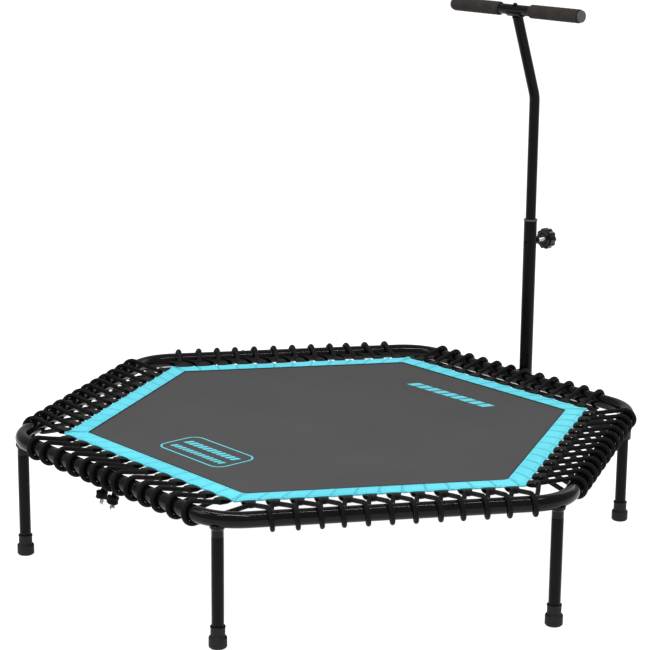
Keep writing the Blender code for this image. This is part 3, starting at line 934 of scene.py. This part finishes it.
def stitch_mesh(place, direction, up, length, radius):
    """One stitch: a short thread, thick in the middle and sunk at both ends."""
    points = []
    radii = []
    for step in range(5):
        t = step / 4
        lift = radius * (1.6 * math.sin(math.pi * t) - 0.6)
        points.append(place + direction * (t - 0.5) * length + up * lift)
        radii.append(radius * (0.55 + 0.45 * math.sin(math.pi * t)))
    return sweep_mesh(points, radii, 6)


def border():
    """The border's six sides, and the two rows of stitches along them."""
    bands = joined([border_band(side) for side in range(6)])
    band = piece("border_band", bands, CLOTH, "mat", "mat_border", sharp=60)
    up = Vector((0, 0, 1))
    stitches = []
    for side in range(6):
        direction = side_place(side, 1, 0, 0) - side_place(side, 0, 0, 0)
        for across in (0.13, 0.87):
            count = int(2 * border_half(across) / STITCH_PITCH)
            for step in range(count):
                share = (2 * step + 1) / count - 1
                place = border_top(side, share, across) + up * 0.0001
                stitches.append(stitch_mesh(place, direction, up, 0.7 * STITCH_PITCH, 0.00038))
    thread = piece("border_stitches", joined(stitches), CYAN_THREAD, "mat", sharp=60)
    seam = []
    line_radius = BORDER_INNER - PIPING_R
    for corner in range(6):
        corners = [Vector((x, y, MAT_TOP + 0.0003)) for x, y in hexagon(line_radius)]
        first = corners[corner]
        second = corners[(corner + 1) % 6]
        seam.append(sweep_mesh([first, second], PIPING_R, 8))
    piping = piece("mat_edge_piping", joined(seam), BLACK_THREAD, "mat", sharp=60)
    return [band, thread, piping]


def tab_section():
    """The tab's centreline in (out, height): out from under the border, round the cord and back."""
    reach = CORD_R + TAB_T / 2 + 0.0003
    top_start = MAT_BOTTOM - 0.0002 - TAB_T / 2
    points = [(TAB_ROOT, top_start), (TAB_EDGE, top_start + 0.0002)]
    points.append((EYE_OUT - 0.0120, EYE_Z + reach * 0.55))
    for step in range(11):
        angle = math.radians(100 - 20 * step)
        points.append((EYE_OUT + reach * math.cos(angle), EYE_Z + reach * math.sin(angle)))
    points.append((EYE_OUT - 0.0120, EYE_Z - reach * 0.75))
    points.append((TAB_EDGE, top_start - TAB_T - 0.0008))
    points.append((TAB_ROOT, top_start - TAB_T - 0.0004))
    return softened([Vector((out, 0, height)) for out, height in points], 1)


def tab_mesh(side, along, section):
    """One webbing tab, tapering to its loop, with its edges curled a little."""
    columns = 8
    skew = rng.uniform(-0.0012, 0.0012)
    points = []
    uvs = []
    lengths = [0.0]
    for first, second in zip(section, section[1:]):
        lengths.append(lengths[-1] + (second - first).length)
    for layer in (1, -1):
        for k, point in enumerate(section):
            before = section[max(k - 1, 0)]
            after = section[min(k + 1, len(section) - 1)]
            tangent = (after - before).normalized()
            normal = Vector((-tangent.z, 0, tangent.x))
            shift = normal * layer * TAB_T / 2
            nearness = max(0.0, min(1.0, (point.x - TAB_EDGE) / (EYE_OUT - TAB_EDGE)))
            ease = nearness * nearness * (3 - 2 * nearness)
            half = (TAB_ROOT_W + (TAB_LOOP_W - TAB_ROOT_W) * ease) / 2
            for column in range(columns + 1):
                t = 2 * column / columns - 1
                curl = 0.0010 * ease * t * t
                place = point + shift - normal * curl
                points.append(side_place(side, along + skew * ease + half * t, place.x, place.z))
                uvs.append((half * t, lengths[k]))
    return slab_mesh(points, len(section) - 1, columns, uvs)


def webbing_tabs():
    """The folded webbing tabs of each side with the bar tacks that hold them."""
    section = tab_section()
    made = []
    for side in range(6):
        direction = side_place(side, 1, 0, 0)
        tabs = joined([tab_mesh(side, along, section) for along in tab_places()])
        strip = piece(f"webbing_tabs_{side + 1}", tabs, WEBBING, "mat", sharp=60)
        made.append(strip)
        tacks = []
        for along in tab_places():
            for step in range(8):
                place = side_place(side, along + (step - 3.5) * 0.0026, TACK_OUT, EYE_Z + 0.0030)
                tacks.append(stitch_mesh(place, direction, Vector((0, 0, 1)), 0.0020, 0.00035))
        tack = piece(
            f"bar_tacks_{side + 1}", joined(tacks), BLACK_THREAD, "mat", sharp=60
        )
        made.append(tack)
    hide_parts("tab_ring")
    band_outline = [hexagon(BORDER_OUTER - 0.006), hexagon(BORDER_INNER - 0.010)]
    backing_mesh = moved(plate_mesh(band_outline, 0.0012), (0, 0, MAT_BOTTOM - 0.0012))
    backing = piece("backing_web", backing_mesh, WEBBING, "mat")
    made.append(backing)
    return made


def printed_shape(outlines, place, turn=0.0):
    """A thin printed shape lying on the mat."""
    mesh = plate_mesh(outlines, 0.0002)
    return moved(mesh, (*place, MAT_TOP + 0.0001), Matrix.Rotation(turn, 4, "Z"))


def rounded_rectangle(width, height, corner, steps=8):
    """The outline of a rectangle with round corners, centred on the origin."""
    points = []
    for quarter, (sx, sy) in enumerate(((1, 1), (-1, 1), (-1, -1), (1, -1))):
        for step in range(steps + 1):
            angle = math.radians(90 * quarter + 90 * step / steps)
            x = sx * (width / 2 - corner) + corner * math.cos(angle)
            y = sy * (height / 2 - corner) + corner * math.sin(angle)
            points.append((x, y))
    return points


def slanted_bar(width, height, slant):
    """A leaning bar's outline, centred on the origin."""
    return [
        (-width / 2 - slant / 2, -height / 2),
        (width / 2 - slant / 2, -height / 2),
        (width / 2 + slant / 2, height / 2),
        (-width / 2 + slant / 2, height / 2),
    ]


def prints():
    """A round-cornered badge filled with plain bars, and a plain bar motif near the mast."""
    line = [
        rounded_rectangle(BADGE_W, BADGE_H, BADGE_CORNER),
        rounded_rectangle(BADGE_W - 2 * BADGE_LINE, BADGE_H - 2 * BADGE_LINE, BADGE_CORNER - BADGE_LINE),
    ]
    shapes = [printed_shape(line, (BADGE_X, BADGE_Y))]
    for count, pitch, width, height, lift in BADGE_ROWS:
        for step in range(count):
            x = BADGE_X + (step - (count - 1) / 2) * pitch
            shapes.append(printed_shape([slanted_bar(width, height, 0.3 * height)], (x, BADGE_Y + lift)))
    badge = piece("printed_badge", joined(shapes), INK, "mat")
    bars = []
    for step in range(MOTIF_BARS):
        x = MOTIF_PLACE[0] + (step - (MOTIF_BARS - 1) / 2) * MOTIF_PITCH
        bars.append(printed_shape([slanted_bar(MOTIF_BAR_W, MOTIF_H, 0.4 * MOTIF_H)], (x, MOTIF_PLACE[1])))
    motif = piece("printed_motif", joined(bars), INK, "mat")
    return [badge, motif]


# Bungee cord


def wrap_places(side):
    """Places along a side of the cord's turns round the tube, a little uneven as laced by hand."""
    if side == KNOT_SIDE:
        return list(TURNS_BEFORE + TURNS_AFTER)
    shake = 0.0 if side == MAST_SIDE else 0.0030
    first = -(TABS - 1) / 2 * WRAP_PITCH + WRAP_SHIFTS[side]
    return [first + turn * WRAP_PITCH + rng.uniform(-shake, shake) for turn in range(TABS)]


def eye_turn(side, tab):
    """The cord's turn through a tab's loop, from the strand that arrives to the one that leaves."""
    points = []
    for step in range(7):
        angle = math.radians(205 + (335 - 205) * step / 6)
        height = EYE_Z - EYE_RISE + 2 * EYE_RISE * step / 6
        out = EYE_OUT + EYE_R + EYE_R * math.sin(angle)
        points.append(side_place(side, tab + 1.25 * EYE_R * math.cos(angle), out, height))
    return points


def tube_turn(side, wrap):
    """The cord's turn round the tube, from over it to under it, leaning as a coil does."""
    points = []
    sweep = 109
    steps = 12
    for step in range(steps + 1):
        t = step / steps
        angle = math.radians(sweep - 2 * sweep * t)
        out = APOTHEM + WRAP_R * math.cos(angle)
        place = wrap + WRAP_LEAN * (2 * t - 1)
        points.append(side_place(side, place, out, FRAME_Z + WRAP_R * math.sin(angle)))
    return points


def cord_end(side, wrap, way):
    """The cord's tail from under its last turn: down, inward and a little along the side."""
    points = []
    for along, out, drop in TAIL_ROUTE:
        place = wrap + WRAP_LEAN + along * way
        points.append(side_place(side, place, APOTHEM + out, FRAME_Z - WRAP_R - drop))
    return points


def knot_mesh(side, wrap, way):
    """The overhand knot near the end of a tail: two and a half tight turns of the cord about itself."""
    low = cord_end(side, wrap, way)[-1]
    high = cord_end(side, wrap, way)[-2]
    axis = (low - high).normalized()
    first = axis.orthogonal().normalized()
    second = axis.cross(first)
    middle = high.lerp(low, 0.35)
    points = []
    steps = 40
    for step in range(steps + 1):
        t = step / steps
        turn = 2 * math.pi * 2.5 * t * way
        reach = CORD_R * (KNOT_REACH + 0.20 * math.sin(3 * math.pi * t))
        place = middle + axis * (t - 0.5) * 2.4 * CORD_R
        points.append(place + (first * math.cos(turn) + second * math.sin(turn)) * reach)
    return sweep_mesh(points, 0.9 * CORD_R, 12)


def frayed_mesh(side, wrap, way):
    """The rubber strands and sheath threads spreading from the end of a tail."""
    low = cord_end(side, wrap, way)[-1]
    strands = []
    for strand in range(14):
        angle = 2 * math.pi * strand / 14 + rng.uniform(-0.2, 0.2)
        spread_out = rng.uniform(0.3, 1.3) * CORD_R
        length = rng.uniform(0.006, 0.011)
        aside = Vector((math.cos(angle), math.sin(angle), 0.0))
        start = low + aside * 0.45 * CORD_R + Vector((0, 0, 0.002))
        end = low + aside * spread_out - Vector((0, 0, length))
        bend = start.lerp(end, 0.5) + aside * rng.uniform(-0.001, 0.001)
        strands.append(sweep_mesh(softened([start, bend, end], 1), 0.0005, 6))
    return joined(strands)


def bungee(side):
    """The laced cord along one side, from its first tab to the next side's first tab. On the knotted side
    its two ends come down between two tabs, one turn of the tube after the other."""
    tabs = tab_places()
    wraps = wrap_places(side)
    meshes = []
    points = eye_turn(side, tabs[0])[3:] + tube_turn(side, wraps[0])
    for tab, wrap in zip(tabs[1:LAST_TURN], wraps[1:LAST_TURN]):
        points += eye_turn(side, tab) + tube_turn(side, wrap)
    if side == KNOT_SIDE:
        last = wraps.pop(LAST_TURN)
        points += cord_end(side, wraps[LAST_TURN - 1], 1)[1:]
        meshes.append(sweep_mesh(softened(points, 2), CORD_R, 14))
        ends = [(wraps[LAST_TURN - 1], 1), (last, -1)]
        points = list(reversed(cord_end(side, last, -1)))[:-1] + list(reversed(tube_turn(side, last)))
        tangle(side, ends)
    for tab, wrap in zip(tabs[LAST_TURN:], wraps[LAST_TURN:]):
        points += eye_turn(side, tab) + tube_turn(side, wrap)
    points += eye_turn((side + 1) % 6, tabs[0])[:4]
    meshes.append(sweep_mesh(softened(points, 2), CORD_R, 14))
    made = piece(
        f"bungee_cord_{side + 1}", joined(meshes),
        CORD, replaced=f"bungee_run_{side + 1}", sharp=70
    )
    made.data.transform(Matrix.Translation(made.location))
    made.location = (0, 0, 0)
    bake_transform(made)


def tangle(side, ends):
    """The knots and frayed ends of the cord's two tails."""
    piece(
        "cord_knots", joined([knot_mesh(side, *end) for end in ends]),
        CORD, "frame", sharp=70
    )
    strands = joined([frayed_mesh(side, *end) for end in ends])
    piece("frayed_ends", strands, FRAY, "frame", sharp=70)


# Mast and handlebar


def open_tube(low, high, radius, rim):
    """A tube along Z with its real wall and rounded rims."""
    section = [(radius - WALL, high), (radius, high), (radius, low), (radius - WALL, low)]
    return turned_mesh(rounded(section, rim, closed=True), 48, closed=True)


def lower_mast():
    """The lower mast tube with its plastic collar."""
    hole = [(0, -MAST_R - 0.004), (HOLE_R, -MAST_R - 0.004), (HOLE_R, -UPPER_R), (0, -UPPER_R)]
    hole_mesh = moved(turned_mesh(hole, 24), (0, 0, KNOB_Z), along_y())
    tube_mesh = cut(open_tube(MAST_BOTTOM, MAST_TOP, MAST_R, 0.0006), hole_mesh)
    piece(
        "lower_mast", moved(tube_mesh, (MAST_X, MAST_Y, 0)),
        SATIN, "frame", "mast_lower_tube"
    )
    bore = UPPER_R + 0.0004
    ring = [
        (bore, COLLAR_TOP),
        (MAST_R + 0.0010, COLLAR_TOP),
        (MAST_R + 0.0010, MAST_TOP + GAP),
        (MAST_R - WALL - GAP, MAST_TOP + GAP),
        (MAST_R - WALL - GAP, MAST_TOP - 0.0120),
        (bore, MAST_TOP - 0.0120),
    ]
    collar_mesh = turned_mesh(rounded(ring, 0.0008, closed=True), 48, closed=True)
    piece(
        "mast_bush", moved(collar_mesh, (MAST_X, MAST_Y, 0)), GREY, "frame", "mast_collar"
    )


def upper_mast():
    """The sliding upper tube, bent towards the mat below the T-bar."""
    reach = MAST_BEND_R * math.tan(TILT / 2)
    points = [Vector((MAST_X, MAST_Y, UPPER_BOTTOM))]
    steps = 12
    for step in range(steps + 1):
        angle = TILT * step / steps
        y = MAST_Y - MAST_BEND_R * (1 - math.cos(angle))
        points.append(Vector((MAST_X, y, BEND_Z - reach + MAST_BEND_R * math.sin(angle))))
    bar = Vector((MAST_X, BAR_Y, BAR_Z))
    lean = Vector((0, -math.sin(TILT), math.cos(TILT)))
    points.append(bar - lean * MAST_END_BELOW_BAR)
    piece(
        "upper_mast", sweep_mesh(points, UPPER_R, 40),
        SATIN, "handlebar", "mast_upper_tube"
    )


def mast_bolt(name, node_name, height, shank_end):
    """One of the button-head bolts through the foot of the mast."""
    seat = MAST_Y + MAST_R + GAP
    shank = [(BOLT_R, seat), (BOLT_R, shank_end), (0, shank_end)]
    profile = button_head(seat, BOLT_HEAD_R, 0.0036, 0.0020) + shank
    mesh = moved(turned_mesh(profile, 36, hex_below=0.0020), (MAST_X, 0, height), along_y())
    piece(name, mesh, ZINC, "frame", node_name, sharp=30)


def handlebar():
    """The T-bar, its saddle and bolt."""
    bar_place = Vector((MAST_X, BAR_Y, BAR_Z))
    bar_mesh = moved(open_tube(-BAR_END, BAR_END, BAR_R, 0.0005), bar_place, along_x())
    piece("cross_bar", bar_mesh, GLOSS, "handlebar", "t_bar")

    lip = math.radians(85)
    space = BAR_R + 2 * GAP
    arc = [-lip + 2 * lip * step / 28 for step in range(29)]
    shell = [(SADDLE_R * math.cos(angle), SADDLE_R * math.sin(angle)) for angle in arc]
    shell += [(space * math.cos(angle), space * math.sin(angle)) for angle in reversed(arc)]
    cup = moved(plate_mesh([shell], 2 * SADDLE_HALF, 0.0007), (0, 0, 0), along_x())
    neck = [
        (0, -space - 0.0010),
        (UPPER_R - 0.0005, -space - 0.0010),
        (UPPER_R + 0.0012, -SADDLE_R - 0.0004),
        (UPPER_R, -SADDLE_R - 0.0022),
        (UPPER_R, -MAST_END_BELOW_BAR + GAP),
        (0, -MAST_END_BELOW_BAR + GAP),
    ]
    saddle_mesh = joined([cup, turned_mesh(rounded(neck, 0.0006), 36)])
    piece(
        "welded_saddle", moved(saddle_mesh, bar_place, tilted()),
        SATIN, "handlebar", "bar_saddle"
    )

    seat = BAR_R + GAP
    dome = [
        (0, seat + 0.0046),
        (0.0022, seat + 0.0043),
        (0.0040, seat + 0.0030),
        (0.0052, seat + 0.0012),
        (0.0055, seat),
        (BOLT_R, seat),
        (BOLT_R, -0.0260),
        (0, -0.0260),
    ]
    dome_mesh = moved(turned_mesh(rounded(dome, 0.0006), 32), bar_place, tilted())
    piece("domed_bolt", dome_mesh, SATIN, "handlebar", "bar_bolt", sharp=50)


def grips():
    """The foam grips and the end caps of the T-bar."""
    bar_place = Vector((MAST_X, BAR_Y, BAR_Z))
    for name, way in (("right", 1), ("left", -1)):
        facing = Matrix.Rotation(math.radians(90 * way), 4, "Y")
        profile = [(BAR_R + GAP, GRIP_START)]
        rows = 60
        for row in range(rows + 1):
            t = row / rows
            height = GRIP_START + (GRIP_END - GRIP_START) * t
            edge = min(t, 1 - t) * (GRIP_END - GRIP_START)
            radius = GRIP_R - 0.0016 * math.exp(-edge / 0.0010) + 0.00012 * math.sin(60 * t + way)
            profile.append((radius, height))
        profile.append((BAR_R + GAP, GRIP_END))
        grip_mesh = moved(turned_mesh(profile, 48, closed=True), bar_place, facing)
        grip = piece(
            f"foam_grip_{name}", grip_mesh, FOAM, "handlebar", f"grip_{name}", sharp=50
        )
        cap_profile = [
            (0, CAP_END),
            (0.0125, CAP_END),
            (0.0125, BAR_END + GAP),
            (BAR_R - WALL - GAP, BAR_END + GAP),
            (BAR_R - WALL - GAP, BAR_END - 0.0120),
            (0, BAR_END - 0.0120),
        ]
        cap_mesh = moved(turned_mesh(rounded(cap_profile, 0.0012), 40), bar_place, facing)
        piece(f"end_cap_{name}", cap_mesh, GREY, "handlebar", f"bar_cap_{name}")


def threaded_rod(low, high, radius, pitch):
    """A rod along Z with a helical thread and pointed ends."""
    per_pitch = 6
    sides = 24
    rows = int((high - low) / pitch * per_pitch)
    rings = []
    heights = []
    for row in range(rows + 1):
        height = low + (high - low) * row / rows
        edge = min(height - low, high - height)
        limit = radius - max(0.0, 0.0010 - edge)
        ring = []
        for side in range(sides):
            phase = (height / pitch - side / sides) % 1.0
            groove = 0.00055 * abs(2 * phase - 1)
            reach = min(limit, radius - groove)
            angle = 2 * math.pi * side / sides
            ring.append(Vector((reach * math.cos(angle), reach * math.sin(angle), height)))
        rings.append(ring)
        heights.append(height)
    return outward(rings_mesh(rings, heights))


def height_lock():
    """The welded nut, threaded stud and lobed knob that lock the upper tube."""
    place = (MAST_X, 0, KNOB_Z)
    stud_mesh = moved(threaded_rod(STUD_START, KNOB_Y + 0.0080, STUD_R, THREAD_PITCH), place, along_y())
    piece("threaded_stud", stud_mesh, ZINC, "stud", "lock_stud", sharp=60)

    nut_y = MAST_Y + MAST_R + GAP + NUT_LENGTH / 2
    nut_mesh = plate_mesh([hexagon(NUT_R), circle(STUD_R + 2 * GAP, 32)], NUT_LENGTH, 0.0007)
    nut_mesh = moved(nut_mesh, (MAST_X, nut_y, KNOB_Z), along_y())
    piece("welded_nut", nut_mesh, SATIN, "frame", "lock_nut", sharp=30)

    outline = []
    for step in range(144):
        angle = 2 * math.pi * step / 144
        radius = KNOB_R - LOBE + LOBE * math.cos(LOBES * angle)
        outline.append((radius * math.cos(angle), radius * math.sin(angle)))
    rim = plate_mesh([outline, circle(0.0110, 48)], KNOB_T, 0.0024, 4)
    hub = [
        (STUD_R + GAP, -KNOB_T / 2),
        (0.0106, -KNOB_T / 2),
        (0.0112, 0.0),
        (0.0112, KNOB_T / 2 - 0.0022),
        (0.0085, KNOB_T / 2 - 0.0030),
        (0, KNOB_T / 2 - 0.0030),
        (0, -KNOB_T / 2 + 0.0083),
        (STUD_R + GAP, -KNOB_T / 2 + 0.0083),
    ]
    hub_mesh = turned_mesh(rounded(hub, 0.0006, closed=True), 48, closed=True)
    knob_mesh = moved(joined([rim, hub_mesh]), (MAST_X, KNOB_Y + KNOB_T / 2, KNOB_Z), along_y())
    piece("star_knob", knob_mesh, KNOB_SKIN, "knob", "lock_knob")


def carried_over():
    """Materials for the CAD nodes that stay as they are."""
    finishes = {
        "mast_saddle": SATIN,
        "mast_spacer": SATIN,
        "mast_bottom_plug": PLASTIC,
        "brace_tube": SATIN,
        "brace_clamp_left": PLASTIC,
        "brace_clamp_right": PLASTIC,
    }
    for name, finish in finishes.items():
        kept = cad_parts[name]
        for slot in kept.material_slots:
            slot.material = finish


# Studio


def studio():
    """A pale floor, soft lights and the camera."""
    reach = 60.0
    corners = [(-reach, -reach, 0), (reach, -reach, 0), (reach, reach, 0), (-reach, reach, 0)]
    floor_mesh = new_mesh(corners, [(0, 1, 2, 3)])
    floor = bpy.data.objects.new("studio_floor", floor_mesh)
    floor_mesh.materials.append(FLOOR)
    bpy.context.scene.collection.objects.link(floor)

    world = bpy.data.worlds.new("studio")
    bpy.context.scene.world = world
    world.use_nodes = True
    world.node_tree.nodes["Background"].inputs["Color"].default_value = (1.0, 1.0, 1.0, 1.0)
    world.node_tree.nodes["Background"].inputs["Strength"].default_value = 0.45

    for name, place, width, length, power in (
        ("key_light", (-1.6, -2.4, 3.2), 1.6, 1.6, 20),
        ("back_light", (-0.6, 3.4, 2.6), 1.8, 1.8, 14),
        ("strip_front", (0.65, -0.38, 2.6), 2.8, 0.05, 28),
        ("strip_side", (0.0, -0.75, 2.6), 2.8, 0.05, 28),
    ):
        lamp = bpy.data.lights.new(name, "AREA")
        lamp.shape = "RECTANGLE"
        lamp.size = width
        lamp.size_y = length
        lamp.energy = power
        holder = bpy.data.objects.new(name, lamp)
        holder.location = place
        aim = Vector((0, 0, 0.3)) - Vector(place)
        holder.rotation_euler = aim.to_track_quat("-Z", "Y").to_euler()
        bpy.context.scene.collection.objects.link(holder)

    lens = bpy.data.cameras.new("camera")
    lens.lens = 113.7
    lens.sensor_width = 36.0
    lens.clip_end = 60.0
    camera = bpy.data.objects.new("camera", lens)
    camera.location = Vector((2.9927, -2.6328, 1.4301)) + CENTRE
    camera.rotation_euler = Euler([math.radians(turn) for turn in (76.132, -0.516, 49.018)])
    bpy.context.scene.collection.objects.link(camera)
    bpy.context.scene.camera = camera
    bpy.context.scene.view_settings.view_transform = "Standard"


for index in range(1, 7):
    frame_tube(index)
    leg_and_foot(index)
    if f"frame_screw_{index}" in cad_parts:
        frame_screw(index)
mat, mat_area = mat_sheet()
sewn_on = border() + webbing_tabs() + prints()
for index in range(6):
    bungee(index)
lower_mast()
upper_mast()
handlebar()
grips()
height_lock()
mast_bolt("mast_bolt_high", "mast_bolt_upper", FRAME_Z, APOTHEM + FRAME_R - WALL - 0.003)
mast_bolt("mast_bolt_low", "mast_bolt_lower", BRACE_Z, BRACE_Y - BRACE_R + WALL + 0.001)
carried_over()
studio()
